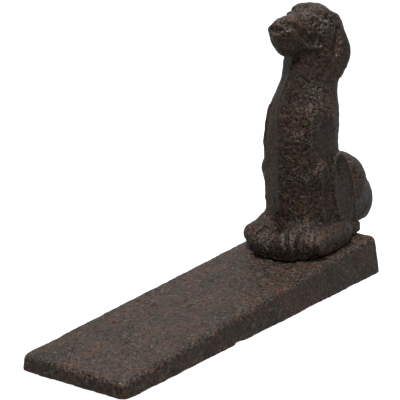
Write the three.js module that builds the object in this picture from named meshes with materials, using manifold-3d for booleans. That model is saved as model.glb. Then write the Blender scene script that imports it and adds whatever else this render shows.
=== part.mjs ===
// A cast-iron wedge door stop with a sitting dog on its thick end.
//
// Millimetres, +Z up. The wedge tapers towards -X and the dog faces that thin end.
// The origin is on the floor, at the centre of the whole object's footprint box.
// Two castings are held together by one screw and a spring washer from below.

import * as THREE from "three";
import { mergeVertices } from "three/addons/utils/BufferGeometryUtils.js";
import Module from "manifold-3d";

// ---- Wedge casting ----
const WEDGE_LENGTH = 152; // six inches
const WEDGE_WIDTH = 44.1;
const THIN_END = 5.45; // thickness at the thin end
const THICK_END = 14.6; // thickness at the thick end
const WEDGE_CENTRE_X = -10.5; // the dog's rump reaches past the thick end
const DRAFT = 0.11; // how far the sides lean in, per mm of height
const TOE_LIFT = 0.2; // the underside rises this much at the thin end
const TOE_LIFT_LENGTH = 35;
const PLAN_CORNER = 2.8; // radius of the corners seen from above
const SHARPEST_CORNER = 1; // the same, where the sides have leaned in past the corner's centre
const TOP_ROUND = 1.8; // radius of the top edges
const BOTTOM_ROUND = 0.6; // chamfer of the bottom edges

// ---- Screw and washer ----
const SCREW_X = WEDGE_CENTRE_X + 55; // the screw's vertical axis, under the middle of the dog
const GAP = 0.3; // clearance between pieces that touch
const SHANK_RADIUS = 2.5; // M5
const SCREW_LENGTH = 25; // under the head
const HEAD_RADIUS = 4.25;
const HEAD_HEIGHT = 3.1;
const HEAD_CHAMFER = 0.4;
const POINT_CHAMFER = 0.7; // at the shank's free end
const SLOT_WIDTH = 1.2;
const SLOT_DEPTH = 1.4;
const WASHER_INNER = 2.9;
const WASHER_OUTER = 4.6;
const WASHER_THICKNESS = 1.2;
const WASHER_SPLIT = 14; // degrees left open in the spring washer
const COUNTERBORE_RADIUS = 5.3;
const COUNTERBORE_DEPTH = 5.2;

// ---- Locating block under the dog, and its pocket in the wedge ----
const BLOCK_LENGTH = 18;
const BLOCK_WIDTH = 12;
const BLOCK_DEPTH = 2.6;

// ---- Dog casting, in its own frame: x = 0 on the screw's axis and the nose towards -x ----
const CELL = 2.0; // size of the facets
const FORM_BLEND = 3; // how softly the body's and head's forms run together
const DETAIL_BLEND = 2; // for the legs, paws, ears and plinth
const HOLE_ALLOWANCE = 2; // the blind hole goes this far past the screw's end
const PLINTH_HEIGHT = 5.2; // above the ramp
const PLINTH_ROUND = 1.6;
const PLINTH_FRONT_RADIUS = 16.3;
const PLINTH_BACK = { centre: 9.5, halfLength: 10, halfWidth: 13 };
const PAW_PAD_RADIUS = 15.4;
const PAW_PAD_HEIGHT = 2.2; // above the plinth
const PAW_PAD_ROUND = 2.5;
const PAW_LINE = { front: -6, back: 3 }; // the centres of the plinth's rounded front part
const KEEL_RADIUS = 1.1; // of the chest's front edge, on the casting's parting line
const CHEST_SECTIONS = [
  // height, keel x, foreleg x, foreleg y, foreleg radius
  [20, -14.4, -9.0, 4.6, 4.6],
  [40, -16.8, -8.9, 5.0, 5.3],
  [54, -17.3, -9.0, 5.3, 5.8],
  [62, -17.0, -6.8, 4.8, 5.4],
  [70, -15.8, -2.4, 3.9, 4.7],
  [74, -12.2, 0.8, 3.2, 4.5],
  [78, -8.6, 2.0, 3.4, 4.7],
  [86, -8.0, 1.8, 3.8, 5.0],
];
const CHEST_LOW = 16;
const CHEST_HIGH = 84;
const CHEST_ROUND = 3;
const HAUNCH_CENTRE = [9.4, 0, 30.5];
const HAUNCH_RADII = [7.3, 30, 19];
const HAUNCH_LEAN = 15; // degrees, forward at the top
const HAUNCH_FACE = 12.7; // half of the width over both thighs
const HAUNCH_ROUND = 2;

const ROUND_SIDES = 32; // sides of the screw, washer and holes

const IRON_COLOUR = 0x3d3431;
const STEEL_COLOUR = 0x8d8f92;

const wasm = await Module();
wasm.setup();

// ---- Solids ----

// A closed three.js geometry as a manifold solid.
function solid(geometry) {
  const bare = geometry.clone();
  bare.deleteAttribute("normal");
  bare.deleteAttribute("uv");
  const merged = mergeVertices(bare, 1e-4);
  return new wasm.Manifold(
    new wasm.Mesh({
      numProp: 3,
      vertProperties: new Float32Array(merged.attributes.position.array),
      triVerts: new Uint32Array(merged.index.array),
    }),
  );
}

// A manifold solid as a three.js geometry.
function geometryOf(manifold) {
  const mesh = manifold.getMesh();
  const geometry = new THREE.BufferGeometry();
  geometry.setAttribute("position", new THREE.BufferAttribute(new Float32Array(mesh.vertProperties), 3));
  geometry.setIndex(new THREE.BufferAttribute(new Uint32Array(mesh.triVerts), 1));
  geometry.computeVertexNormals();
  return geometry;
}

// An upright cylinder on the screw's axis, between two heights.
function post(radius, low, high) {
  const geometry = new THREE.CylinderGeometry(radius, radius, high - low, ROUND_SIDES);
  geometry.rotateX(Math.PI / 2);
  geometry.translate(SCREW_X, 0, (low + high) / 2);
  return geometry;
}

// ---- The ramp ----

const THIN_X = WEDGE_CENTRE_X - WEDGE_LENGTH / 2;
const THICK_X = WEDGE_CENTRE_X + WEDGE_LENGTH / 2;
const SLOPE = (THICK_END - THIN_END) / WEDGE_LENGTH;

function rampHeight(x) {
  return THIN_END + (x - THIN_X) * SLOPE;
}

function undersideHeight(x) {
  const along = THIN_X + TOE_LIFT_LENGTH - x;
  return TOE_LIFT * Math.max(0, along / TOE_LIFT_LENGTH);
}

// ---- Wedge ----

// Half of the wedge's plan outline, on the -Y side, from the thin end to the thick end.
function halfOutline(inset) {
  const low = THIN_X + inset;
  const high = THICK_X - inset;
  const side = -(WEDGE_WIDTH / 2 - inset);
  const points = [];
  const corner = (x, cornerRadius, startAngle) => {
    const steps = 5;
    for (let i = 0; i <= steps; i += 1) {
      const angle = startAngle + (i / steps) * (Math.PI / 2);
      points.push([
        x + cornerRadius * Math.cos(angle),
        side + cornerRadius + cornerRadius * Math.sin(angle),
      ]);
    }
  };
  const radius = Math.max(PLAN_CORNER - inset, SHARPEST_CORNER);
  corner(low + radius, radius, Math.PI);
  points.push([THIN_X + TOE_LIFT_LENGTH, side]);
  corner(high - radius, radius, 1.5 * Math.PI);
  return points;
}

// The wedge's levels, from the underside to the ramp: an outline's inset and its height along X.
// The sides lean in by the same amount all along, so that the ramp stays one flat face.
function wedgeLevels() {
  const lean = (DRAFT * (THIN_END + THICK_END)) / 2;
  const roundSteps = 4;
  const levels = [
    { inset: BOTTOM_ROUND, height: undersideHeight },
    { inset: 0, height: (x) => undersideHeight(x) + BOTTOM_ROUND },
  ];
  for (let i = 0; i <= roundSteps; i += 1) {
    const angle = (i / roundSteps) * (Math.PI / 2);
    const drop = TOP_ROUND * (1 - Math.sin(angle));
    levels.push({
      inset: lean + TOP_ROUND * (1 - Math.cos(angle)),
      height: (x) => rampHeight(x) - drop,
    });
  }
  return levels;
}

// The levels' outlines skinned together, with the underside and the ramp closed straight across.
function wedgeBlank() {
  const levels = wedgeLevels();
  const positions = [];
  for (const { inset, height } of levels) {
    const half = halfOutline(inset);
    const outline = [...half, ...half.map(([x, y]) => [x, -y]).reverse()];
    for (const [x, y] of outline) positions.push(x, y, height(x));
  }
  const count = positions.length / 3 / levels.length;
  const index = [];
  for (let level = 0; level + 1 < levels.length; level += 1) {
    for (let i = 0; i < count; i += 1) {
      const a = level * count + i;
      const b = level * count + ((i + 1) % count);
      index.push(a, b, b + count, a, b + count, a + count);
    }
  }
  const top = (levels.length - 1) * count;
  for (let i = 0; i + 1 < count / 2; i += 1) {
    const j = count - 1 - i;
    index.push(i, j, j - 1, i, j - 1, i + 1);
    index.push(top + i, top + i + 1, top + j - 1, top + i, top + j - 1, top + j);
  }
  const geometry = new THREE.BufferGeometry();
  geometry.setAttribute("position", new THREE.BufferAttribute(new Float32Array(positions), 3));
  geometry.setIndex(index);
  return geometry;
}

// The block that keeps the dog from turning on its screw; the pocket for it has a clearance.
function locatingBlock(clearance, low, high) {
  const geometry = new THREE.BoxGeometry(
    BLOCK_LENGTH + 2 * clearance,
    BLOCK_WIDTH + 2 * clearance,
    high - low,
  );
  geometry.translate(SCREW_X, 0, (low + high) / 2);
  return geometry;
}

const BLOCK_BOTTOM = rampHeight(SCREW_X) - BLOCK_DEPTH;
const ABOVE_RAMP = THICK_END + 5;
const BELOW_FLOOR = -1;

function wedge() {
  return geometryOf(
    solid(wedgeBlank())
      .subtract(solid(locatingBlock(GAP, BLOCK_BOTTOM - GAP, ABOVE_RAMP)))
      .subtract(solid(post(SHANK_RADIUS + GAP, BELOW_FLOOR, ABOVE_RAMP)))
      .subtract(solid(post(COUNTERBORE_RADIUS, BELOW_FLOOR, COUNTERBORE_DEPTH))),
  );
}

// ---- Signed distances to simple forms: negative inside, millimetres ----
// A form is a function of x (0 on the screw's axis, - towards the nose), y and z (0 on the floor).

// An ellipsoid, its long axes turned about Y by a number of degrees.
function ball(centre, radii, degrees = 0) {
  const cos = Math.cos(THREE.MathUtils.degToRad(degrees));
  const sin = Math.sin(THREE.MathUtils.degToRad(degrees));
  return (x, y, z) => {
    const dx = x - centre[0];
    const dz = z - centre[2];
    const u = (dx * cos - dz * sin) / radii[0];
    const v = (y - centre[1]) / radii[1];
    const w = (dx * sin + dz * cos) / radii[2];
    const near = Math.hypot(u, v, w);
    const slope = Math.hypot(u / radii[0], v / radii[1], w / radii[2]);
    return slope < 1e-9 ? -Math.min(...radii) : (near * (near - 1)) / slope;
  };
}

// A round bar between two points, with its own radius at each; flat < 1 makes it narrower in Y.
function limb(start, end, startRadius, endRadius, flat = 1) {
  const axis = [end[0] - start[0], (end[1] - start[1]) / flat, end[2] - start[2]];
  const squared = axis[0] ** 2 + axis[1] ** 2 + axis[2] ** 2;
  return (x, y, z) => {
    const from = [x - start[0], (y - start[1]) / flat, z - start[2]];
    const dot = from[0] * axis[0] + from[1] * axis[1] + from[2] * axis[2];
    const t = THREE.MathUtils.clamp(dot / squared, 0, 1);
    const away = Math.hypot(from[0] - t * axis[0], from[1] - t * axis[1], from[2] - t * axis[2]);
    return (away - startRadius - t * (endRadius - startRadius)) * flat;
  };
}

// The same form on both sides of the dog.
function pair(form) {
  return (x, y, z) => form(x, Math.abs(y), z);
}

function smoothUnion(a, b, blend) {
  const overlap = Math.max(blend - Math.abs(a - b), 0) / blend;
  return Math.min(a, b) - (overlap * overlap * blend) / 4;
}

function union(forms, blend) {
  return (x, y, z) => forms.map((form) => form(x, y, z)).reduce((a, b) => smoothUnion(a, b, blend));
}

// The common part of two half-spaces, with the edge between them rounded.
function roundedMeet(a, b, radius) {
  const u = a + radius;
  const v = b + radius;
  return Math.min(Math.max(u, v), 0) + Math.hypot(Math.max(u, 0), Math.max(v, 0)) - radius;
}

// ---- The dog's forms ----

// How far a point is outside the rounded front of a slab of a radius, seen from above.
function pastFront(x, y, radius) {
  return Math.hypot(x - THREE.MathUtils.clamp(x, PAW_LINE.front, PAW_LINE.back), y) - radius;
}

// The plinth: a rounded slab that follows the ramp.
function plinth(x, y, z) {
  const height = z - rampHeight(x + SCREW_X) - PLINTH_HEIGHT / 2;
  const back = Math.max(
    Math.abs(x - PLINTH_BACK.centre) - PLINTH_BACK.halfLength,
    Math.abs(y) - PLINTH_BACK.halfWidth,
  );
  const outline = Math.min(pastFront(x, y, PLINTH_FRONT_RADIUS), back);
  return roundedMeet(outline, Math.abs(height) - PLINTH_HEIGHT / 2, PLINTH_ROUND);
}

// The low mass that joins the toes above the plinth.
function pawPad(x, y, z) {
  const height = Math.abs(z - rampHeight(x + SCREW_X) - PLINTH_HEIGHT / 2);
  const above = height - PLINTH_HEIGHT / 2 - PAW_PAD_HEIGHT;
  return roundedMeet(pastFront(x, y, PAW_PAD_RADIUS), above, PAW_PAD_ROUND);
}

// The chest's plan section at a height, between the two listed ones.
function chestSection(z) {
  const above = CHEST_SECTIONS.findIndex(([height]) => height > z);
  if (above === 0) return CHEST_SECTIONS[0];
  if (above < 0) return CHEST_SECTIONS[CHEST_SECTIONS.length - 1];
  const lower = CHEST_SECTIONS[above - 1];
  const upper = CHEST_SECTIONS[above];
  const t = (z - lower[0]) / (upper[0] - lower[0]);
  return lower.map((value, i) => value + t * (upper[i] - value));
}

// The forelegs and chest, which meet in a keel at the front.
function chest(x, y, z) {
  const [, keel, legX, legY, legRadius] = chestSection(z);
  const keelX = keel + KEEL_RADIUS;
  const alongX = legX - keelX;
  const fromX = x - keelX;
  const squared = alongX ** 2 + legY ** 2;
  const t = THREE.MathUtils.clamp((fromX * alongX + Math.abs(y) * legY) / squared, 0, 1);
  const away = Math.hypot(fromX - t * alongX, Math.abs(y) - t * legY);
  const side = away - KEEL_RADIUS - t * (legRadius - KEEL_RADIUS);
  const ends = Math.max(CHEST_LOW - z, z - CHEST_HIGH);
  return roundedMeet(side, ends, CHEST_ROUND);
}

// A flat thigh on each side, with an oval outline.
const haunchOval = ball(HAUNCH_CENTRE, HAUNCH_RADII, -HAUNCH_LEAN);

function haunch(x, y, z) {
  return roundedMeet(haunchOval(x, 0, z), Math.abs(y) - HAUNCH_FACE, HAUNCH_ROUND);
}

const body = union(
  [
    limb([1.5, 0, 26], [0.8, 0, 60], 14.2, 13.8, 0.83), // torso
    limb([-4, 0, 22], [12, 0, 22], 9.5, 9.5), // belly, between the legs
    limb([0.2, 0, 63], [5.6, 0, 78], 13.8, 10.4, 0.86), // shoulders and neck
    chest,
    limb([23, 0, 29.4], [31.1, 0, 23.1], 13.8, 11, 0.85), // rump and tail
  ],
  FORM_BLEND,
);

const head = union(
  [
    limb([4.8, 0, 78], [5, 0, 90], 10.2, 9.8, 0.92), // nape
    ball([4.8, 0, 92.2], [10.7, 9, 10.7]), // skull
    limb([-3, 0, 94.7], [-13.1, 0, 94.4], 5.7, 5.3, 0.95), // muzzle
    limb([-2, 0, 90], [-10.8, 0, 90.3], 6.2, 4.9, 0.95), // jaw
    ball([-16.5, 0, 96.3], [2.1, 2.8, 2.4]), // nose
    pair(ball([3.4, 4.6, 98.8], [3.2, 2.4, 2.4])), // brows
  ],
  FORM_BLEND,
);

const legs = union(
  [
    haunch,
    pair(ball([-5.4, 10.5, 42.4], [4.2, 3.4, 5.2])), // knees
    pair(limb([-6.5, 9.8, 42], [-5, 10, 22], 2.6, 3)), // shins
    pair(limb([-12.8, 13, 17.5], [6, 11.5, 19], 4.6, 4.2)), // hind feet
    pair(limb([-18, 5, 17], [-10, 7.5, 20.6], 5.2, 6)), // forepaws
    pawPad,
  ],
  DETAIL_BLEND,
);

// Flat ears that hang beside the head.
const ears = union(
  [
    pair(limb([7.6, 7.8, 93.4], [9.2, 9.6, 84.3], 5.6, 5.2, 0.4)),
    pair(limb([9.2, 9.6, 84], [9, 9.6, 78.4], 5.5, 2.4, 0.4)),
  ],
  DETAIL_BLEND,
);

const dogForm = union([body, head, legs, ears, plinth], DETAIL_BLEND);

// ---- A faceted surface around a form, by surface nets ----

function facetedSurface(form, low, high, cell) {
  const size = [0, 1, 2].map((axis) => Math.ceil((high[axis] - low[axis]) / cell) + 1);
  const [nx, ny, nz] = size;
  const at = (i, j, k) => (i * ny + j) * nz + k;
  const place = (i, j, k) => [low[0] + i * cell, low[1] + j * cell, low[2] + k * cell];
  const values = new Float64Array(nx * ny * nz);
  for (let i = 0; i < nx; i += 1) {
    for (let j = 0; j < ny; j += 1) {
      for (let k = 0; k < nz; k += 1) values[at(i, j, k)] = form(...place(i, j, k));
    }
  }
  const corners = [0, 1, 2, 3, 4, 5, 6, 7].map((c) => [c & 1, (c >> 1) & 1, (c >> 2) & 1]);
  const edges = [];
  for (let a = 0; a < 8; a += 1) {
    for (const bit of [1, 2, 4]) if (!(a & bit)) edges.push([a, a | bit]);
  }
  const vertexOf = new Map();
  const positions = [];
  for (let i = 0; i + 1 < nx; i += 1) {
    for (let j = 0; j + 1 < ny; j += 1) {
      for (let k = 0; k + 1 < nz; k += 1) {
        const value = corners.map(([a, b, c]) => values[at(i + a, j + b, k + c)]);
        const sum = [0, 0, 0];
        let crossings = 0;
        for (const [a, b] of edges) {
          if (value[a] < 0 === value[b] < 0) continue;
          const t = value[a] / (value[a] - value[b]);
          for (let axis = 0; axis < 3; axis += 1) {
            sum[axis] += corners[a][axis] + t * (corners[b][axis] - corners[a][axis]);
          }
          crossings += 1;
        }
        if (crossings === 0) continue;
        vertexOf.set(at(i, j, k), positions.length / 3);
        const origin = place(i, j, k);
        for (let axis = 0; axis < 3; axis += 1) positions.push(origin[axis] + (cell * sum[axis]) / crossings);
      }
    }
  }
  // Each grid edge that crosses the surface gives a quad between the four cells around it.
  const index = [];
  const step = [[1, 0, 0], [0, 1, 0], [0, 0, 1]];
  for (let i = 1; i + 1 < nx; i += 1) {
    for (let j = 1; j + 1 < ny; j += 1) {
      for (let k = 1; k + 1 < nz; k += 1) {
        for (let axis = 0; axis < 3; axis += 1) {
          const here = values[at(i, j, k)] < 0;
          const next = values[at(i + step[axis][0], j + step[axis][1], k + step[axis][2])] < 0;
          if (here === next) continue;
          const u = step[(axis + 1) % 3];
          const v = step[(axis + 2) % 3];
          const quad = [[0, 0], [1, 0], [1, 1], [0, 1]].map(([a, b]) =>
            vertexOf.get(at(i - a * u[0] - b * v[0], j - a * u[1] - b * v[1], k - a * u[2] - b * v[2])),
          );
          const [a, b, c, d] = here ? quad : [...quad].reverse();
          index.push(a, b, c, a, c, d);
        }
      }
    }
  }
  const geometry = new THREE.BufferGeometry();
  geometry.setAttribute("position", new THREE.BufferAttribute(new Float32Array(positions), 3));
  geometry.setIndex(index);
  return geometry;
}

// ---- Dog ----

const DOG_LOW = [-26, -20.3, 8];
const DOG_HIGH = [46, 20.3, 108];
const CUTTER = { length: 200, width: 100, height: 40 }; // larger than the dog on every side

function dogFigure() {
  const figure = facetedSurface(dogForm, DOG_LOW, DOG_HIGH, CELL);
  figure.translate(SCREW_X, 0, 0);
  // The plinth's underside is cut flat, parallel to the ramp.
  const below = new THREE.BoxGeometry(CUTTER.length, CUTTER.width, CUTTER.height);
  below.translate(0, 0, -CUTTER.height / 2);
  below.rotateY(-Math.atan(SLOPE));
  below.translate(SCREW_X, 0, rampHeight(SCREW_X) + GAP);
  const blockTop = rampHeight(SCREW_X) + PLINTH_HEIGHT / 2;
  const holeTop = HEAD_HEIGHT + GAP + SCREW_LENGTH + HOLE_ALLOWANCE;
  return geometryOf(
    solid(figure)
      .subtract(solid(below))
      .add(solid(locatingBlock(0, BLOCK_BOTTOM, blockTop)))
      .subtract(solid(post(SHANK_RADIUS + GAP, 0, holeTop))),
  );
}

// ---- Screw and washer ----

function fixingScrew() {
  const profile = [
    [0, GAP],
    [HEAD_RADIUS - HEAD_CHAMFER, GAP],
    [HEAD_RADIUS, GAP + HEAD_CHAMFER],
    [HEAD_RADIUS, GAP + HEAD_HEIGHT],
    [SHANK_RADIUS, GAP + HEAD_HEIGHT],
    [SHANK_RADIUS, GAP + HEAD_HEIGHT + SCREW_LENGTH - POINT_CHAMFER],
    [SHANK_RADIUS - POINT_CHAMFER, GAP + HEAD_HEIGHT + SCREW_LENGTH],
    [0, GAP + HEAD_HEIGHT + SCREW_LENGTH],
  ];
  const screw = new THREE.LatheGeometry(profile.map(([r, h]) => new THREE.Vector2(r, h)), ROUND_SIDES);
  screw.rotateX(Math.PI / 2);
  screw.translate(SCREW_X, 0, 0);
  const slot = new THREE.BoxGeometry(3 * HEAD_RADIUS, SLOT_WIDTH, 2 * SLOT_DEPTH);
  slot.translate(SCREW_X, 0, GAP);
  return geometryOf(solid(screw).subtract(solid(slot)));
}

function lockWasher() {
  const split = THREE.MathUtils.degToRad(WASHER_SPLIT / 2);
  const shape = new THREE.Shape();
  shape.absarc(0, 0, WASHER_OUTER, split, 2 * Math.PI - split, false);
  shape.absarc(0, 0, WASHER_INNER, 2 * Math.PI - split, split, true);
  shape.closePath();
  const geometry = new THREE.ExtrudeGeometry(shape, {
    depth: WASHER_THICKNESS,
    bevelEnabled: false,
    curveSegments: ROUND_SIDES,
  });
  geometry.translate(SCREW_X, 0, GAP + HEAD_HEIGHT + GAP);
  return geometry;
}

// ---- Assembly ----

function piece(name, geometry, colour, roughness, metalness) {
  const material = new THREE.MeshStandardMaterial({ color: colour, roughness, metalness });
  const mesh = new THREE.Mesh(geometry, material);
  mesh.name = name;
  return mesh;
}

const doorStop = new THREE.Group();
doorStop.add(piece("wedge", wedge(), IRON_COLOUR, 0.55, 0.4));
doorStop.add(piece("dog_figure", dogFigure(), IRON_COLOUR, 0.55, 0.4));
doorStop.add(piece("fixing_screw", fixingScrew(), STEEL_COLOUR, 0.4, 0.9));
doorStop.add(piece("lock_washer", lockWasher(), STEEL_COLOUR, 0.45, 0.9));

export default doorStop;
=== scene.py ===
"""A cast-iron wedge door stop with a sitting dog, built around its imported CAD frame.

Shapes are written in millimetres as signed distances, negative inside, and meshed piece by piece.
The dog's own frame has x = 0 on the screw's axis, the nose towards -x, and z = 0 on the floor.
"""

import math

import bpy
import numpy as np
from mathutils import Matrix, Vector


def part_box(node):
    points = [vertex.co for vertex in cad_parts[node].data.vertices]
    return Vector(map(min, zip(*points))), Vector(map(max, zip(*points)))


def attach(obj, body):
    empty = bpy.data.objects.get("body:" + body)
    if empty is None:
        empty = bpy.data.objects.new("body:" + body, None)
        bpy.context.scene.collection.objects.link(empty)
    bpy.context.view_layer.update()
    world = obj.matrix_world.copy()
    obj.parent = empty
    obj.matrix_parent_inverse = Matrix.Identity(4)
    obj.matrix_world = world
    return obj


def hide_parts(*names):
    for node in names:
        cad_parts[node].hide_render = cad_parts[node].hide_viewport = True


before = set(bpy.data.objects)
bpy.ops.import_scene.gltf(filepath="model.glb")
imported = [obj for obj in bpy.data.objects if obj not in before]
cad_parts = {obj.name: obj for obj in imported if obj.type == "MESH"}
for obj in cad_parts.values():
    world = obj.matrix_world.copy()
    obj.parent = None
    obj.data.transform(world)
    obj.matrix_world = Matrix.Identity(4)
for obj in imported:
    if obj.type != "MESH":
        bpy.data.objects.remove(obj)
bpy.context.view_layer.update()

MM = 0.001
wedge_low, wedge_high = (np.array(corner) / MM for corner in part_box("wedge"))
screw_low, screw_high = (np.array(corner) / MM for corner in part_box("fixing_screw"))
washer_low, washer_high = (np.array(corner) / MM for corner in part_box("lock_washer"))

# ---- Driving dimensions, as in the CAD model ----
WEDGE_CENTRE_X = (wedge_low[0] + wedge_high[0]) / 2
WEDGE_LENGTH = wedge_high[0] - wedge_low[0]
WEDGE_WIDTH = wedge_high[1] - wedge_low[1]
THIN_END = 5.45
THICK_END = 14.6
SLOPE = (THICK_END - THIN_END) / WEDGE_LENGTH
RAMP_COS = 1 / math.hypot(1, SLOPE)
DRAFT = 0.11
TOE_LIFT = 0.2
TOE_LIFT_LENGTH = 35.0
PLAN_CORNER = 2.8
TOP_ROUND = 1.8
BOTTOM_ROUND = 0.6
SCREW_X = (screw_low[0] + screw_high[0]) / 2
GAP = 0.3
SHANK_RADIUS = 2.5
COUNTERBORE_RADIUS = 5.3
COUNTERBORE_DEPTH = 5.2
BLOCK_LENGTH = 18.0
BLOCK_WIDTH = 12.0
BLOCK_DEPTH = 2.6
HOLE_ALLOWANCE = 2.0  # the dog's blind hole goes this far past the screw's end
PLINTH_HEIGHT = 5.2
SEAT_ROUND = 0.8  # of the plinth's bottom edge

# ---- Fineness ----
IRON_CELL = 0.4
STEEL_CELL = 0.14
COARSE_STEP = 4  # the first pass over a form looks at one grid point in this many, each way
CLOSE_CELLS = 8  # and the second only this near the surface
PROJECTIONS = 2  # how often a mesh's points are moved onto the true surface
CURVATURE_STEP = 0.7  # the size, in millimetres, of the ridges and hollows that `relief` shows


# ---- Signed distances ----


def ball(centre, radii, degrees=0.0):
    """An ellipsoid whose long axes are turned about Y."""
    cos, sin = math.cos(math.radians(degrees)), math.sin(math.radians(degrees))

    def form(x, y, z):
        dx, dz = x - centre[0], z - centre[2]
        u = (dx * cos - dz * sin) / radii[0]
        v = (y - centre[1]) / radii[1]
        w = (dx * sin + dz * cos) / radii[2]
        near = np.sqrt(u * u + v * v + w * w)
        slope = np.sqrt((u / radii[0]) ** 2 + (v / radii[1]) ** 2 + (w / radii[2]) ** 2)
        return near * (near - 1) / np.maximum(slope, 1e-9)

    return form


def limb(start, end, start_radius, end_radius, flat=1.0):
    """A round bar with its own radius at each end; flat < 1 makes it narrower in Y."""
    ax, ay, az = end[0] - start[0], (end[1] - start[1]) / flat, end[2] - start[2]
    squared = ax * ax + ay * ay + az * az

    def form(x, y, z):
        px, py, pz = x - start[0], (y - start[1]) / flat, z - start[2]
        t = np.clip((px * ax + py * ay + pz * az) / squared, 0, 1)
        away = np.sqrt((px - t * ax) ** 2 + (py - t * ay) ** 2 + (pz - t * az) ** 2)
        return (away - start_radius - t * (end_radius - start_radius)) * flat

    return form


def cord_of(points, radius):
    """The space within a radius of a line through the points."""
    links = [limb(a, b, radius, radius) for a, b in zip(points, points[1:])]

    def form(x, y, z):
        return np.minimum.reduce([link(x, y, z) for link in links])

    return form


def pair(form):
    """The same form on both sides of the dog."""
    return lambda x, y, z: form(x, np.abs(y), z)


def smooth_min(a, b, blend):
    overlap = np.maximum(blend - np.abs(a - b), 0) / blend
    return np.minimum(a, b) - overlap * overlap * blend / 4


def union(forms, blend):
    def form(x, y, z):
        total = forms[0](x, y, z)
        for other in forms[1:]:
            total = smooth_min(total, other(x, y, z), blend)
        return total

    return form


def carved(form, cutter, blend):
    """A form with a soft-edged groove or hollow cut into it."""
    return lambda x, y, z: -smooth_min(-form(x, y, z), cutter(x, y, z), blend)


def rounded_meet(a, b, radius):
    """The common part of two half-spaces, with the edge between them rounded."""
    u, v = a + radius, b + radius
    return np.minimum(np.maximum(u, v), 0) + np.hypot(np.maximum(u, 0), np.maximum(v, 0)) - radius


def ramp_height(x):
    """Height of the wedge's sloping top, from x in the part's frame."""
    return THIN_END + (x - wedge_low[0]) * SLOPE


# ---- The dog ----


PLINTH_ROUND = 1.6
PLINTH_FRONT_RADIUS = 16.3
PLINTH_BACK_CENTRE = 9.5
PLINTH_BACK_HALF_LENGTH = 10
PLINTH_BACK_HALF_WIDTH = 13
PAW_LINE = (-6, 3)  # the plinth's rounded front is drawn about this stretch of the middle line
PAW_PAD_RADIUS = 15.4
PAW_PAD_HEIGHT = 2.2
PAW_PAD_ROUND = 2.5


def past_front(x, y, radius):
    """How far a point is outside the plinth's rounded front, seen from above."""
    return np.hypot(x - np.clip(x, *PAW_LINE), y) - radius


def above_plinth(x, z):
    return z - ramp_height(x + SCREW_X) - PLINTH_HEIGHT


def plinth(x, y, z):
    """The rounded slab under the paws, which follows the ramp."""
    back = np.maximum(
        np.abs(x - PLINTH_BACK_CENTRE) - PLINTH_BACK_HALF_LENGTH,
        np.abs(y) - PLINTH_BACK_HALF_WIDTH,
    )
    outline = np.minimum(past_front(x, y, PLINTH_FRONT_RADIUS), back)
    return rounded_meet(outline, above_plinth(x, z), PLINTH_ROUND)


def paw_pad(x, y, z):
    """The low mass that joins the toes above the plinth."""
    outline = past_front(x, y, PAW_PAD_RADIUS)
    return rounded_meet(outline, above_plinth(x, z) - PAW_PAD_HEIGHT, PAW_PAD_ROUND)


# Plan sections of the chest: height, keel x, foreleg x, foreleg y, foreleg radius.
CHEST_SECTIONS = (
    (20, -14.4, -9.0, 4.6, 4.6),
    (40, -16.8, -8.9, 5.0, 5.3),
    (54, -17.3, -9.0, 5.3, 5.8),
    (62, -17.0, -6.8, 4.8, 5.4),
    (70, -15.8, -2.4, 3.9, 4.7),
    (74, -12.2, 0.8, 3.2, 4.5),
    (78, -8.6, 2.0, 3.4, 4.7),
    (86, -8.0, 1.8, 3.8, 5.0),
)
SECTION_EASING = (-2.4, -1.2, 0, 1.2, 2.4)  # heights either side that a section is averaged over
KEEL_RADIUS = 1.1
CHEST_MIDDLE = 50
CHEST_HALF_HEIGHT = 34
CHEST_ROUND = 3
HAUNCH_CENTRE = (9.4, 30.5)
HAUNCH_RADII = (7.3, 19)
HAUNCH_LEAN = 15  # degrees, forward at the top
HAUNCH_FACE = 12.7  # half of the width over both thighs
HAUNCH_ROUND = 2.8
RIM_RADIUS = 0.55
RIM_INSET = 1.1
RIM_DEPTH = 0.3
RIM_BLEND = 1.4


def eased(z, column):
    """A column of the chest sections at a height, with its corners smoothed."""
    heights = [section[0] for section in CHEST_SECTIONS]
    values = [section[column] for section in CHEST_SECTIONS]
    total = sum(np.interp(z + step, heights, values) for step in SECTION_EASING)
    return total / len(SECTION_EASING)


def chest(x, y, z):
    """The forelegs and chest, meeting in a keel on the casting's parting line."""
    keel_x = eased(z, 1) + KEEL_RADIUS
    leg_x, leg_y, leg_radius = eased(z, 2), eased(z, 3), eased(z, 4)
    along_x, along_y = leg_x - keel_x, leg_y
    px, py = x - keel_x, np.abs(y)
    t = np.clip((px * along_x + py * along_y) / (along_x**2 + along_y**2), 0, 1)
    side = np.hypot(px - t * along_x, py - t * along_y) - KEEL_RADIUS - t * (leg_radius - KEEL_RADIUS)
    return rounded_meet(side, np.abs(z - CHEST_MIDDLE) - CHEST_HALF_HEIGHT, CHEST_ROUND)


def tilted_oval(x, z):
    """The haunch's outline: distance in side view from an oval leaning forward at the top."""
    lean = math.radians(HAUNCH_LEAN)
    dx, dz = x - HAUNCH_CENTRE[0], z - HAUNCH_CENTRE[1]
    u = (dx * math.cos(lean) + dz * math.sin(lean)) / HAUNCH_RADII[0]
    w = (dz * math.cos(lean) - dx * math.sin(lean)) / HAUNCH_RADII[1]
    near = np.sqrt(u * u + w * w)
    slope = np.sqrt((u / HAUNCH_RADII[0]) ** 2 + (w / HAUNCH_RADII[1]) ** 2)
    return near * (near - 1) / np.maximum(slope, 1e-9)


def haunch(x, y, z):
    """A flat thigh on the dog's side, with a raised rim."""
    outline = tilted_oval(x, z)
    outside = np.abs(y) - HAUNCH_FACE
    plate = rounded_meet(outline, outside, HAUNCH_ROUND)
    rim = np.hypot(outline + RIM_INSET, outside + RIM_DEPTH) - RIM_RADIUS
    return smooth_min(plate, rim, RIM_BLEND)


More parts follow.
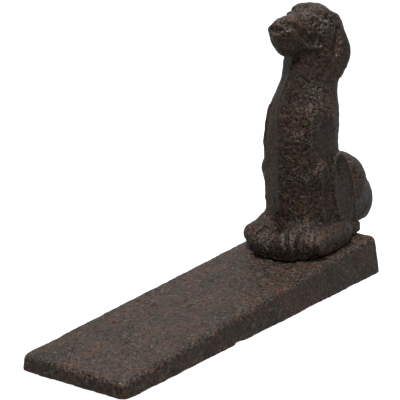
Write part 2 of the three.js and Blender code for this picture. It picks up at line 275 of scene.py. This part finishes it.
def ridges():
    """Raised lines, on both sides."""
    return [
        cord_of([(-17.0, 2.2, 96.4), (-15.6, 3.9, 95.2), (-12, 4.8, 92.8)], 1.0),  # upper lip
        cord_of([(-12, 4.8, 92.8), (-9, 4.8, 90.6), (-5.4, 5.6, 88.6), (-1, 7.8, 88.2)], 1.0),  # jaw
        cord_of([(-2.4, 1.4, 100.3), (-3.4, 4.1, 98.3)], 1.0),  # inner brow
        cord_of([(-1.6, 4.0, 99.3), (-1.2, 5.2, 98.9)], 1.3),  # eye
        cord_of([(1.8, 8.6, 96.8), (1.6, 9.2, 92), (1.8, 9.3, 89), (1.2, 9, 87)], 1.1),  # ear, front
        cord_of([(1.2, 9.0, 87), (2.8, 10.0, 84), (5.8, 10.4, 78.3), (8, 10.4, 76.5)], 0.7),  # ear, below
        cord_of([(-8.6, 8.5, 66), (-9.6, 9.1, 60), (-9.7, 9.2, 53)], 0.8),  # elbow
    ]


def grooves():
    """Sunken lines, on both sides."""
    return [
        cord_of([(-16.4, 2.4, 98.5), (-13.3, 4.2, 97), (-10.5, 5, 95.6), (-8.5, 5.4, 93.6)], 0.9),  # mouth
        cord_of([(-8.5, 5.4, 93.6), (-5.7, 6.2, 90.9), (-4, 7, 90.7), (-3, 7.6, 91.7)], 0.8),  # corner
        cord_of([(-19.2, 0, 95.9), (-18.2, 2.4, 96.4)], 0.6),  # under the nose
        cord_of([(0.3, 0, 102.3), (-0.3, 2.6, 101.7), (0, 5.3, 100.6), (0.9, 6.9, 99.6)], 0.8),  # brow
        cord_of([(0, 5.0, 100.5), (0.4, 6.2, 99.9)], 1.2),  # eye corner
        cord_of([(2.6, 8.4, 98.6), (3.4, 9.4, 96.4), (3.6, 9.9, 94.8)], 0.9),  # ear root
        cord_of([(6.6, 10.6, 93.8), (4.9, 11.1, 88.9), (3.8, 10.9, 85.5)], 0.8),  # ear fold
        cord_of([(-10.6, 7.7, 68), (-11.5, 8.3, 64.7), (-12.4, 9.3, 54.4), (-12, 9.7, 43)], 1.1),  # elbow
        cord_of([(-5.4, 14.0, 43.2), (-4.2, 13.7, 38.5), (-2.6, 12.9, 30)], 1.7),  # behind the shin
        cord_of([(4.9, 13.0, 45), (5.6, 13.4, 42)], 1.6),  # top of the haunch
        cord_of([(-20, 0, 22), (-23.2, 0, 18.6), (-23, 0, 13)], 0.7),  # between the forepaws
        # The last four are between the toes.
        cord_of([(-15.4, 1.2, 27), (-17.6, 4.6, 22.6), (-22.2, 7.7, 18.6), (-21.7, 7.6, 13.4)], 0.5),
        cord_of([(-16.6, 10, 22), (-18.9, 10.5, 18), (-18.7, 10.4, 13.3)], 0.6),
        cord_of([(-13, 14.6, 22.2), (-16.2, 16, 19), (-15.1, 15.4, 13.6)], 0.6),
        cord_of([(-9.4, 17.2, 20), (-9.2, 17.2, 14.5)], 0.5),
    ]


FORM_BLEND = 3  # how softly the body's and the head's forms run together
DETAIL_BLEND = 2
LINE_BLEND = 0.5
RIDGE_BLEND = 1.0
GROOVE_BLEND = 1.6


def body_form():
    return union(
        [
            limb([1.5, 0, 26], [0.8, 0, 60], 14.2, 13.8, 0.83),  # torso
            limb([-4, 0, 22], [12, 0, 22], 9.5, 9.5),  # belly, between the legs
            limb([0.2, 0, 63], [5.6, 0, 78], 13.8, 10.4, 0.86),  # shoulders and neck
            chest,
            limb([23.0, 0, 29.4], [31.1, 0, 23.1], 13.8, 11, 0.85),  # rump and tail
        ],
        FORM_BLEND,
    )


def head_form():
    return union(
        [
            limb([4.8, 0, 78], [5, 0, 90], 10.2, 9.8, 0.92),  # nape
            ball([4.8, 0, 92.2], [10.7, 9.0, 10.7]),  # skull
            limb([-3, 0, 94.7], [-13.1, 0, 94.4], 5.7, 5.3, 0.95),  # muzzle
            limb([-2, 0, 90], [-10.8, 0, 90.3], 6.2, 4.9, 0.95),  # jaw
            ball([-16.5, 0, 96.3], [2.1, 2.8, 2.4]),  # nose
            pair(ball([3.4, 4.6, 98.8], [3.2, 2.4, 2.4])),  # brows
        ],
        FORM_BLEND,
    )


def legs_form():
    """The haunches and all four paws; the forelegs are part of the chest."""
    return union(
        [
            haunch,
            pair(ball([-5.4, 10.5, 42.4], [4.2, 3.4, 5.2])),  # knees
            pair(limb([-6.5, 9.8, 42], [-5, 10, 22], 2.6, 3.0)),  # shins
            pair(limb([-12.8, 13, 17.5], [6, 11.5, 19], 4.6, 4.2)),  # hind feet
            pair(limb([-18, 5, 17], [-10, 7.5, 20.6], 5.2, 6)),  # forepaws
            paw_pad,
        ],
        DETAIL_BLEND,
    )


def ears_form():
    return union(
        [
            pair(limb([7.6, 7.8, 93.4], [9.2, 9.6, 84.3], 5.6, 5.2, 0.4)),
            pair(limb([9.2, 9.6, 84], [9, 9.6, 78.4], 5.5, 2.4, 0.4)),
        ],
        DETAIL_BLEND,
    )


def dog_form():
    parts = [body_form(), head_form(), legs_form(), ears_form(), plinth]
    figure = union(parts, DETAIL_BLEND)
    lined = union([figure, pair(union(ridges(), LINE_BLEND))], RIDGE_BLEND)
    return carved(lined, pair(union(grooves(), LINE_BLEND)), GROOVE_BLEND)


# ---- The wedge ----

RAMP_PITS = ((-51, 12), (-62, -2), (-51, 5), (-39, 7), (-33, 10), (-24, 3), (-27, -1), (-75, 10))
PIT_RADII = (1.5, 0.8, 0.9)
PIT_RISE = 0.4  # of a pit's centre above the ramp
EDGE_CHIP = ((-26.5, -22.6, -0.2), (3.2, 1.8, 1.5))  # centre and radii
BLEMISH_BLEND = 0.4
BLEMISH_SOFTNESS = 0.6


def blemishes():
    """Shallow pits in the ramp and a chip in one bottom edge, left by the sand mould."""
    pits = [ball((x, y, ramp_height(x) + PIT_RISE), PIT_RADII) for x, y in RAMP_PITS]
    return union([*pits, ball(*EDGE_CHIP)], BLEMISH_BLEND)


def wedge_blank(x, y, z):
    """The tapered casting before its holes: a ramp, leaning sides and a slightly lifted toe."""
    lean = DRAFT * z
    across = np.abs(y) - (WEDGE_WIDTH / 2 - lean)
    along = np.abs(x - WEDGE_CENTRE_X) - (WEDGE_LENGTH / 2 - lean)
    side = rounded_meet(across, along, PLAN_CORNER)
    top = (z - ramp_height(x)) * RAMP_COS
    lift = TOE_LIFT * np.maximum(0, 1 - (x - wedge_low[0]) / TOE_LIFT_LENGTH)
    return rounded_meet(rounded_meet(side, top, TOP_ROUND), lift - z, BOTTOM_ROUND)


def dog_fixing(x, y, z):
    """What is cut from the wedge: the shank hole, its counterbore and the pocket for the block."""
    from_axis = np.hypot(x - SCREW_X, y)
    shank_hole = from_axis - SHANK_RADIUS - GAP
    counterbore = np.maximum(from_axis - COUNTERBORE_RADIUS, z - COUNTERBORE_DEPTH)
    pocket_floor = ramp_height(SCREW_X) - BLOCK_DEPTH - GAP
    pocket = np.maximum.reduce(
        [
            np.abs(x - SCREW_X) - BLOCK_LENGTH / 2 - GAP,
            np.abs(y) - BLOCK_WIDTH / 2 - GAP,
            pocket_floor - z,
        ]
    )
    return np.minimum.reduce([shank_hole, counterbore, pocket])


def wedge_form():
    blank = carved(wedge_blank, blemishes(), BLEMISH_SOFTNESS)
    return lambda x, y, z: np.maximum(blank(x, y, z), -dog_fixing(x, y, z))


def seated_dog_form():
    """The dog cut flat under its plinth, with its locating block and the screw's blind hole."""
    dog = dog_form()
    block_bottom = ramp_height(SCREW_X) - BLOCK_DEPTH
    hole_top = screw_high[2] + HOLE_ALLOWANCE

    def form(x, y, z):
        seat = (ramp_height(x) + GAP - z) * RAMP_COS
        body = rounded_meet(dog(x - SCREW_X, y, z), seat, SEAT_ROUND)
        block = np.maximum.reduce(
            [
                np.abs(x - SCREW_X) - BLOCK_LENGTH / 2,
                np.abs(y) - BLOCK_WIDTH / 2,
                np.abs(z - block_bottom - PLINTH_HEIGHT / 2) - PLINTH_HEIGHT / 2,
            ]
        )
        hole = np.maximum(np.hypot(x - SCREW_X, y) - SHANK_RADIUS - GAP, z - hole_top)
        return np.maximum(np.minimum(body, block), -hole)

    return form


# ---- Screw and washer ----

SCREW_HEAD_RADIUS = (screw_high[0] - screw_low[0]) / 2
SCREW_HEAD_HEIGHT = 3.1
SCREW_HEAD_TOP = screw_low[2] + SCREW_HEAD_HEIGHT
SCREW_HEAD_ROUND = 0.4
SCREW_POINT_ROUND = 0.5
SHANK_OVERLAP = 0.5  # how far the shank runs into the head
SLOT_WIDTH = 1.2
SLOT_DEPTH = 1.4
SLOT_ROUND = 0.1
THREAD_PITCH = 0.8
THREAD_DEPTH = 0.45
THREAD_STEEPNESS = 0.75  # brings the distance to the thread's sloping flanks near the true one
WASHER_INNER = 2.9
WASHER_OUTER = 4.6
WASHER_ROUND = 0.15
WASHER_TWIST = 0.12  # how far each cut end stands up or down from the middle
WASHER_CUT = 0.35  # half of the gap between the cut ends
WASHER_SLANT = 0.6


def screw_form(x, y, z):
    """A slotted cheese-head machine screw, pointing up."""
    from_axis = np.hypot(x - SCREW_X, y)
    turn = np.arctan2(y, x - SCREW_X) / (2 * np.pi)
    thread = np.abs((z / THREAD_PITCH - turn) % 1 - 0.5) * 2 * THREAD_DEPTH
    threaded = (from_axis - SHANK_RADIUS + thread) * THREAD_STEEPNESS
    shank = np.maximum(threaded, SCREW_HEAD_TOP - SHANK_OVERLAP - z)
    shank = rounded_meet(shank, z - screw_high[2], SCREW_POINT_ROUND)
    middle = (screw_low[2] + SCREW_HEAD_TOP) / 2
    height = np.abs(z - middle) - SCREW_HEAD_HEIGHT / 2
    head = rounded_meet(from_axis - SCREW_HEAD_RADIUS, height, SCREW_HEAD_ROUND)
    slot = rounded_meet(np.abs(y) - SLOT_WIDTH / 2, z - screw_low[2] - SLOT_DEPTH, SLOT_ROUND)
    return np.minimum(shank, np.maximum(head, -slot))


def washer_form(x, y, z):
    """A spring washer: a ring cut across at a slant, its ends twisted apart."""
    from_axis = np.hypot(x - SCREW_X, y)
    middle = (washer_low[2] + washer_high[2]) / 2
    twist = WASHER_TWIST * np.arctan2(y, SCREW_X - x) / np.pi
    half_height = (washer_high[2] - washer_low[2]) / 2 - WASHER_TWIST
    width = np.abs(from_axis - (WASHER_INNER + WASHER_OUTER) / 2) - (WASHER_OUTER - WASHER_INNER) / 2
    ring = rounded_meet(width, np.abs(z - middle - twist) - half_height, WASHER_ROUND)
    cut = np.maximum(np.abs(y - WASHER_SLANT * (z - middle)) - WASHER_CUT, SCREW_X - x)
    return np.maximum(ring, -cut)


# ---- Meshing ----

CELL_CORNERS = [np.array([c & 1, (c >> 1) & 1, (c >> 2) & 1]) for c in range(8)]
LEAST_SQUARED_SLOPE = 0.25  # keeps a point from being thrown far where a form is nearly flat
RELIEF_GAIN = 0.25
FIRST_SEED = 11
NOISE_PERIOD = 64

def sampled(form, low, high, cell):
    """The form's values on a grid, exact near the surface and coarse elsewhere."""
    axes = [np.arange(low[i], high[i] + cell, cell) for i in range(3)]
    grid = np.meshgrid(*axes, indexing="ij", sparse=False)
    coarse = tuple(slice(0, None, COARSE_STEP) for _ in range(3))
    value = form(*(a[coarse] for a in grid))
    for axis in range(3):
        value = np.repeat(value, COARSE_STEP, axis=axis)
    value = value[tuple(slice(0, len(a)) for a in axes)]
    close = np.abs(value) < CLOSE_CELLS * cell
    value[close] = form(*(a[close] for a in grid))
    return value


def at_corner(field, corner):
    """The field's values at the same corner of every grid cell."""
    return field[tuple(slice(c, c + n - 1) for c, n in zip(corner, field.shape))]


def crossed_cells(inside):
    """Which grid cells the surface passes through."""
    some = np.logical_or.reduce([at_corner(inside, c) for c in CELL_CORNERS])
    every = np.logical_and.reduce([at_corner(inside, c) for c in CELL_CORNERS])
    return some & ~every


def cell_points(value, crossed):
    """A point in each crossed cell, in cells: the middle of where the surface cuts its edges."""
    total = np.zeros((crossed.sum(), 3))
    count = np.zeros(crossed.sum())
    for a in range(8):
        for bit in (1, 2, 4):
            if a & bit:
                continue
            start, end = CELL_CORNERS[a], CELL_CORNERS[a | bit]
            v0, v1 = at_corner(value, start)[crossed], at_corner(value, end)[crossed]
            cuts = (v0 < 0) != (v1 < 0)
            t = np.where(cuts, v0 / np.where(cuts, v0 - v1, 1), 0)
            total += np.where(cuts[:, None], start + t[:, None] * (end - start), 0)
            count += cuts
    return np.argwhere(crossed) + total / count[:, None]


def cell_quads(inside, number):
    """A quad, facing out, between the four numbered cells around each grid edge that is cut."""
    steps = np.eye(3, dtype=int)
    here = inside[1:-1, 1:-1, 1:-1]
    quads = []
    for axis in range(3):
        e, u, v = steps[axis], steps[(axis + 1) % 3], steps[(axis + 2) % 3]
        next_one = inside[tuple(slice(1 + e[i], inside.shape[i] - 1 + e[i]) for i in range(3))]
        cut = np.argwhere(here != next_one) + 1
        around = [cut, cut - u, cut - u - v, cut - v]
        quad = np.stack([number[tuple(c.T)] for c in around], axis=1)
        outward = inside[tuple(cut.T)]
        quad[~outward] = quad[~outward][:, ::-1]
        quads.append(quad)
    return np.concatenate(quads)


def surface_net(form, low, high, cell):
    """Points and quads of the surface where the form is zero."""
    value = sampled(form, low, high, cell)
    inside = value < 0
    crossed = crossed_cells(inside)
    number = np.full(crossed.shape, -1)
    number[crossed] = np.arange(crossed.sum())
    points = np.array(low) + cell * cell_points(value, crossed)
    return points, cell_quads(inside, number)


def slope_of(form, points, step):
    """The form's value, gradient and curvature at points."""
    x, y, z = points.T
    centre = form(x, y, z)
    ahead = np.array([form(x + step, y, z), form(x, y + step, z), form(x, y, z + step)])
    behind = np.array([form(x - step, y, z), form(x, y - step, z), form(x, y, z - step)])
    gradient = ((ahead - behind) / (2 * step)).T
    curvature = ((ahead + behind).sum(0) - 6 * centre) / step**2
    return centre, gradient, curvature


def smooth_noise(points, size, seed):
    """Smooth noise from -1 to 1 with features of about a size, in millimetres."""
    lattice = np.random.default_rng(seed).uniform(-1, 1, (NOISE_PERIOD,) * 3)
    scaled = points / size
    cell = np.floor(scaled).astype(int)
    t = scaled - cell
    t = t * t * (3 - 2 * t)
    total = np.zeros(len(points))
    for corner in CELL_CORNERS:
        i, j, k = ((cell + corner) % NOISE_PERIOD).T
        weight = np.prod(np.where(corner == 1, t, 1 - t), axis=1)
        total += weight * lattice[i, j, k]
    return total


def on_surface(form, points, cell):
    """The points moved onto the true surface of the form."""
    for _ in range(PROJECTIONS):
        value, gradient, _curvature = slope_of(form, points, cell / 4)
        squared = np.maximum((gradient**2).sum(1), LEAST_SQUARED_SLOPE)
        points = points - np.clip(value, -cell / 2, cell / 2)[:, None] * gradient / squared[:, None]
    return points


def roughened(points, normal, lumps):
    """The points pushed in and out by each lump: a height and a size."""
    for seed, (height, size) in enumerate(lumps, start=FIRST_SEED):
        points = points + (height * smooth_noise(points, size, seed))[:, None] * normal
    points[:, 2] = np.maximum(points[:, 2], 0)  # the wedge's foot is ground flat
    return points


def make_mesh(name, form, low, high, cell, lumps=()):
    """An object around a form, with ridges above 0.5 and hollows below it in `relief`."""
    points, quads = surface_net(form, low, high, cell)
    points = on_surface(form, points, cell)
    _value, gradient, curvature = slope_of(form, points, CURVATURE_STEP)
    normal = gradient / np.maximum(np.linalg.norm(gradient, axis=1), 1e-6)[:, None]
    points = roughened(points, normal, lumps)
    mesh = bpy.data.meshes.new(name)
    mesh.vertices.add(len(points))
    mesh.vertices.foreach_set("co", (points * MM).astype(np.float32).ravel())
    mesh.loops.add(4 * len(quads))
    mesh.loops.foreach_set("vertex_index", quads.astype(np.int32).ravel())
    mesh.polygons.add(len(quads))
    mesh.polygons.foreach_set("loop_start", np.arange(0, 4 * len(quads), 4, dtype=np.int32))
    mesh.update(calc_edges=True)
    mesh.validate()
    mesh.polygons.foreach_set("use_smooth", np.ones(len(mesh.polygons), bool))
    relief = mesh.attributes.new("relief", "FLOAT", "POINT")
    height = np.clip(0.5 + RELIEF_GAIN * curvature, 0, 1)
    relief.data.foreach_set("value", height.astype(np.float32))
    piece = bpy.data.objects.new(name, mesh)
    bpy.context.scene.collection.objects.link(piece)
    return piece


# ---- Materials ----


MIX_FACTOR, MIX_A, MIX_B = 0, 6, 7  # the sockets that a colour mix uses
MIX_RESULT = 2


class Nodes:
    """A short way to wire a node tree."""

    def __init__(self, tree):
        self.tree = tree
        self.tree.nodes.clear()

    def add(self, kind, inputs=(), **settings):
        node = self.tree.nodes.new(kind)
        for key, value in settings.items():
            setattr(node, key, value)
        for key, value in dict(inputs).items():
            if isinstance(value, bpy.types.NodeSocket):
                self.tree.links.new(value, node.inputs[key])
            else:
                node.inputs[key].default_value = value
        return node

    def noise(self, place, size, detail=3.0, roughness=0.55):
        """Noise with features of about a size, in millimetres."""
        inputs = {"Vector": place, "Scale": 1 / (size * MM), "Detail": detail, "Roughness": roughness}
        return self.add("ShaderNodeTexNoise", inputs).outputs["Fac"]

    def mix(self, factor, a, b):
        node = self.add("ShaderNodeMix", data_type="RGBA")
        for index, value in ((MIX_FACTOR, factor), (MIX_A, a), (MIX_B, b)):
            if isinstance(value, bpy.types.NodeSocket):
                self.tree.links.new(value, node.inputs[index])
            else:
                node.inputs[index].default_value = value
        return node.outputs[MIX_RESULT]

    def remap(self, value, low, high, to_low=0.0, to_high=1.0):
        inputs = {"Value": value, "From Min": low, "From Max": high, "To Min": to_low, "To Max": to_high}
        return self.add("ShaderNodeMapRange", inputs).outputs["Result"]

    def math(self, operation, a, b):
        return self.add("ShaderNodeMath", {0: a, 1: b}, operation=operation).outputs[0]

    def bump(self, height, depth, strength=1.0, under=None):
        """Bumps of a depth in millimetres, on top of others if given."""
        inputs = {"Strength": strength, "Distance": depth * MM, "Height": height}
        if under is not None:
            inputs["Normal"] = under
        return self.add("ShaderNodeBump", inputs).outputs[0]


def new_material(name):
    material = bpy.data.materials.new(name)
    material.use_nodes = True
    return material, Nodes(material.node_tree)


DARK_UMBER = (0.020, 0.013, 0.009, 1)
RUST_BROWN = (0.060, 0.026, 0.014, 1)
MAROON = (0.068, 0.024, 0.026, 1)
OLIVE = (0.040, 0.038, 0.014, 1)
SLATE = (0.036, 0.036, 0.036, 1)
# Light grey for painted glints in flecks, and for ridges: partly worn coating, partly a painted highlight
# along the edges.
GLINT_AND_WEAR_GREY = (0.150, 0.125, 0.105, 1)
# Near black for painted shade in the grain's pits and in the hollows of the relief.
PAINTED_SHADE = (0.004, 0.003, 0.002, 1)
TINT_SIZE = 2.6  # millimetres
TINTS = ((MAROON, 0.50, 0.66), (OLIVE, 0.52, 0.66), (SLATE, 0.50, 0.64))  # and where each sets in
STAINED_ZINC = (0.30, 0.30, 0.31, 1)
CLEAN_ZINC = (0.50, 0.49, 0.46, 1)
PAPER = ((0.30, 0.30, 0.30, 1), (0.33, 0.33, 0.33, 1))
WHITE = (1, 1, 1, 1)


def cast_iron():
    """Sand-cast iron under a thin dark brown coating: grainy, satin, with rusty mottling, painted shade in
    its pits and hollows, painted glints in flecks and ridges lighter from wear and a painted highlight.
    """
    material, n = new_material("cast_iron")
    place = n.add("ShaderNodeTexCoord").outputs["Object"]
    relief = n.add("ShaderNodeAttribute", attribute_name="relief").outputs["Fac"]
    patches = n.noise(place, 9, 4)
    tint_inputs = {"Vector": place, "Scale": 1 / (TINT_SIZE * MM), "Detail": 2.0}
    tints = n.add("ShaderNodeTexNoise", tint_inputs)
    hue = n.add("ShaderNodeSeparateColor", {"Color": tints.outputs["Color"]})
    fleck_noise = n.noise(place, 1.5, 2)
    grain = n.noise(place, 1.1, 1)
    fine = n.noise(place, 0.45, 1)
    colour = n.mix(n.remap(patches, 0.40, 0.62), DARK_UMBER, RUST_BROWN)
    for channel, (tint, low, high) in zip(hue.outputs, TINTS):
        colour = n.mix(n.remap(channel, low, high, 0, 0.5), colour, tint)
    # Painted glints: light grey flecks standing in for the sparkle of the grain.
    colour = n.mix(n.remap(fleck_noise, 0.56, 0.68, 0, 0.55), colour, GLINT_AND_WEAR_GREY)
    # Painted shade where the grain noise is low, standing in for shadowed pits.
    colour = n.mix(n.remap(grain, 0.38, 0.50, 0.9, 0), colour, PAINTED_SHADE)
    # Painted shade in the hollows, where the relief is low.
    colour = n.mix(n.remap(relief, 0.10, 0.42, 0.85, 0), colour, PAINTED_SHADE)
    # Lighter on ridges: partly worn coating, partly a painted highlight along the edges.
    colour = n.mix(n.remap(relief, 0.62, 0.95, 0, 0.35), colour, GLINT_AND_WEAR_GREY)
    gloss = n.remap(n.math("ADD", fleck_noise, grain), 0.75, 1.25, 0.25, 0.56)
    bump = n.bump(fine, 0.4, under=n.bump(grain, 0.9))
    shader = n.add(
        "ShaderNodeBsdfPrincipled",
        {
            "Base Color": colour,
            "Roughness": gloss,
            "Normal": bump,
            "IOR": 1.42,
            "Specular Tint": (1, 0.88, 0.80, 1),
        },
    )
    n.add("ShaderNodeOutputMaterial", {"Surface": shader.outputs[0]})
    return material


def plated_steel():
    """Zinc-plated steel with a fine grain and dull grey stains."""
    material, n = new_material("plated_steel")
    place = n.add("ShaderNodeTexCoord").outputs["Object"]
    stains = n.noise(place, 2.5, 4)
    grain = n.noise(place, 0.25, 2)
    colour = n.mix(n.remap(stains, 0.35, 0.65), STAINED_ZINC, CLEAN_ZINC)
    gloss = n.remap(n.math("ADD", stains, grain), 0.7, 1.3, 0.28, 0.5)
    bump = n.bump(grain, 0.05, strength=0.3)
    shader = n.add(
        "ShaderNodeBsdfPrincipled",
        {"Base Color": colour, "Roughness": gloss, "Normal": bump, "Metallic": 1.0},
    )
    n.add("ShaderNodeOutputMaterial", {"Surface": shader.outputs[0]})
    return material


def pale_floor():
    """Paper that looks blank white to the camera and throws only a little light back."""
    material, n = new_material("pale_floor")
    place = n.add("ShaderNodeTexCoord").outputs["Object"]
    tone = n.mix(n.noise(place, 400, 2), *PAPER)
    paper = n.add("ShaderNodeBsdfDiffuse", {"Color": tone})
    glare = n.add("ShaderNodeEmission", {"Color": WHITE, "Strength": 1.0})
    both = n.add("ShaderNodeAddShader", {0: paper.outputs[0], 1: glare.outputs[0]})
    seen = n.add("ShaderNodeLightPath").outputs["Is Camera Ray"]
    shader = n.add("ShaderNodeMixShader", {0: seen, 1: paper.outputs[0], 2: both.outputs[0]})
    n.add("ShaderNodeOutputMaterial", {"Surface": shader.outputs[0]})
    return material


# ---- Pieces ----

# The uneven skin of the sand castings: heights and sizes of its lumps.
WEDGE_LUMPS = ((0.14, 5), (0.08, 1.8), (0.07, 1.0))
DOG_LUMPS = ((0.20, 4), (0.14, 1.8), (0.09, 1.0))
# How far past its CAD body each surface is looked for.
WEDGE_MARGIN = 2
DOG_MARGIN = 5
STEEL_MARGIN = 0.6


def finish_piece(piece, node, material):
    piece.data.materials.append(material)
    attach(piece, "root")
    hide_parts(node)


def grown(low, high, margin):
    return np.array(low) - margin, np.array(high) + margin


def make_wedge(material):
    low, high = grown(wedge_low, wedge_high, WEDGE_MARGIN)
    piece = make_mesh("wedge_casting", wedge_form(), low, high, IRON_CELL, WEDGE_LUMPS)
    finish_piece(piece, "wedge", material)


def make_dog(material):
    dog_low, dog_high = (np.array(corner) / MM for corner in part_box("dog_figure"))
    low, high = grown(dog_low, dog_high, DOG_MARGIN)
    piece = make_mesh("dog_casting", seated_dog_form(), low, high, IRON_CELL, DOG_LUMPS)
    finish_piece(piece, "dog_figure", material)


def make_hardware(name, node, form, material):
    low, high = (np.array(corner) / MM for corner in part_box(node))
    piece = make_mesh(name, form, *grown(low, high, STEEL_MARGIN), STEEL_CELL)
    finish_piece(piece, node, material)


# ---- Stage ----

SENSOR_WIDTH = 36  # millimetres
LENS = 133.2
CAMERA_FROM_WEDGE = (-389.8, -293.3, 179.8)  # millimetres, from the wedge's middle on the floor
CAMERA_AZIMUTH = -52.45  # degrees
CAMERA_ELEVATION = 15.72
CAMERA_ROLL = -0.93
FLOOR_HALF = 6  # metres
WALL_DIRECTION = (0.77, 0.64, 0)  # towards the brightest part of the wall
WALL_TURN = (-0.2, 0.95)  # the cosines from that direction between which the wall brightens
WALL_LIGHT = (0.18, 0.62)  # the wall's strength at each
WALL_TOP = (0.28, 0.60)  # the heights on the sky between which the wall gives way to the ceiling
CEILING_SHARE = 0.25
# Name, place, target, size and power of each lamp, in metres and watts.
LAMPS = (
    ("overhead", (0.0, 0.0, 0.9), (0, 0, 0.03), 0.22, 8.5),
    ("front", (-0.40, -0.32, 0.75), (0.03, 0, 0.05), 0.15, 4.2),
)


def place_camera():
    data = bpy.data.cameras.new("camera")
    data.sensor_width = SENSOR_WIDTH
    data.lens = LENS
    data.clip_start = 0.01
    data.clip_end = 50
    camera = bpy.data.objects.new("camera", data)
    bpy.context.scene.collection.objects.link(camera)
    azimuth, elevation = math.radians(CAMERA_AZIMUTH), math.radians(CAMERA_ELEVATION)
    back = Vector(
        (
            math.sin(azimuth) * math.cos(elevation),
            -math.cos(azimuth) * math.cos(elevation),
            math.sin(elevation),
        )
    )
    level = (-back).to_track_quat("-Z", "Y").to_matrix()
    roll = Matrix.Rotation(math.radians(CAMERA_ROLL), 3, "Z")
    place = Vector(CAMERA_FROM_WEDGE) + Vector((WEDGE_CENTRE_X, 0, 0))
    camera.matrix_world = Matrix.Translation(place * MM) @ (level @ roll).to_4x4()
    bpy.context.scene.camera = camera


def make_floor():
    mesh = bpy.data.meshes.new("floor")
    half = FLOOR_HALF
    corners = [(-half, -half, 0), (half, -half, 0), (half, half, 0), (-half, half, 0)]
    mesh.from_pydata(corners, [], [(0, 1, 2, 3)])
    floor = bpy.data.objects.new("floor", mesh)
    bpy.context.scene.collection.objects.link(floor)
    mesh.materials.append(pale_floor())


def soft_light(name, place, target, size, watts):
    data = bpy.data.lights.new(name, "AREA")
    data.shape = "DISK"
    data.size = size
    data.energy = watts
    light = bpy.data.objects.new(name, data)
    bpy.context.scene.collection.objects.link(light)
    light.location = place
    light.rotation_mode = "QUATERNION"
    light.rotation_quaternion = (Vector(target) - Vector(place)).to_track_quat("-Z", "Y")


def make_studio():
    """A pale wall all round, brightest behind the object but plain white to the camera, and lamps."""
    world = bpy.data.worlds.new("studio")
    bpy.context.scene.world = world
    world.use_nodes = True
    n = Nodes(world.node_tree)
    direction = n.add("ShaderNodeTexCoord").outputs["Generated"]
    behind = n.add("ShaderNodeVectorMath", {0: direction, 1: WALL_DIRECTION}, operation="DOT_PRODUCT")
    height = n.add("ShaderNodeSeparateXYZ", {0: direction}).outputs["Z"]
    wall = n.remap(behind.outputs["Value"], *WALL_TURN, *WALL_LIGHT)
    light = n.math("MULTIPLY", wall, n.remap(height, *WALL_TOP, 1.0, CEILING_SHARE))
    seen = n.add("ShaderNodeLightPath").outputs["Is Camera Ray"]
    strength = n.add("ShaderNodeMix", {0: seen, 2: light, 3: 1.0}, data_type="FLOAT")
    glow = n.add("ShaderNodeBackground", {"Color": WHITE, "Strength": strength.outputs[0]})
    n.add("ShaderNodeOutputWorld", {"Surface": glow.outputs[0]})
    for lamp in LAMPS:
        soft_light(*lamp)


place_camera()
make_floor()
make_studio()
iron = cast_iron()
make_wedge(iron)
make_dog(iron)
steel = plated_steel()
make_hardware("machine_screw", "fixing_screw", screw_form, steel)
make_hardware("spring_washer", "lock_washer", washer_form, steel)

bpy.context.scene.view_settings.view_transform = "Standard"
